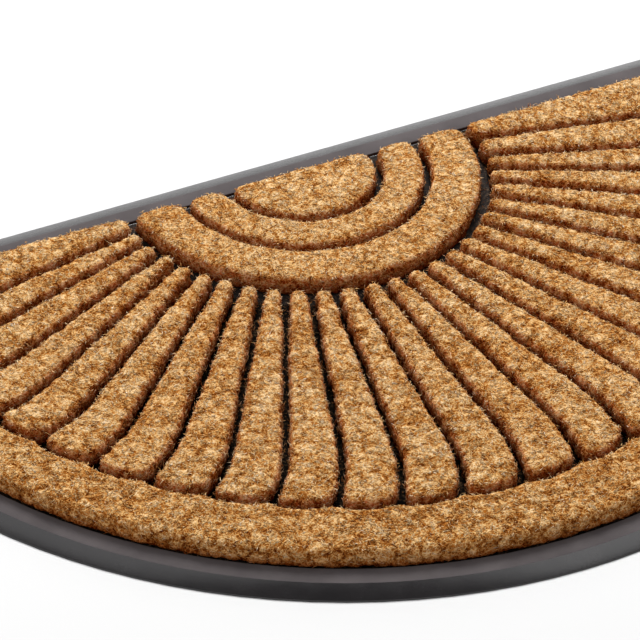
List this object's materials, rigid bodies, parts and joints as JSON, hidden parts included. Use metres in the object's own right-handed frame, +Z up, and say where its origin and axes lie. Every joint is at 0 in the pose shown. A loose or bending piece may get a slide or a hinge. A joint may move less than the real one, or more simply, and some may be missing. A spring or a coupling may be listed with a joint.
{
  "type": "half-round coir doormat",
  "caption": "Half-round doormat: coir pads in a sun-ray pattern stand in a moulded rubber tray with a flat ledge and a sloping bevelled edge.",
  "frame": {"origin": "middle of the footprint, on the surface that the mat lies on", "axes": "+X along the straight rear edge, -Y towards the middle of the curved front edge, +Z up"},
  "size_m": [0.762, 0.4572, 0.017],
  "materials": {
    "rubber": "semi-matt moulded charcoal rubber",
    "coir": "rough cut coir pile, golden brown with paler and darker fibres"
  },
  "bodies": {
    "root": {"rubber_base": "rubber", "sun_pad": "coir", "inner_ring": "coir", "outer_ring": "coir", "ray_01": "coir", "ray_02": "coir", "ray_03": "coir", "ray_04": "coir", "ray_05": "coir", "ray_06": "coir", "ray_07": "coir", "ray_08": "coir", "ray_09": "coir", "ray_10": "coir", "ray_11": "coir", "ray_12": "coir", "ray_13": "coir", "ray_14": "coir", "ray_15": "coir", "ray_16": "coir", "ray_17": "coir", "ray_18": "coir", "ray_19": "coir", "ray_20": "coir", "ray_21": "coir", "ray_22": "coir", "ray_23": "coir", "ray_24": "coir", "ray_25": "coir", "ray_26": "coir", "border_band": "coir"}
  },
  "joints": []
}
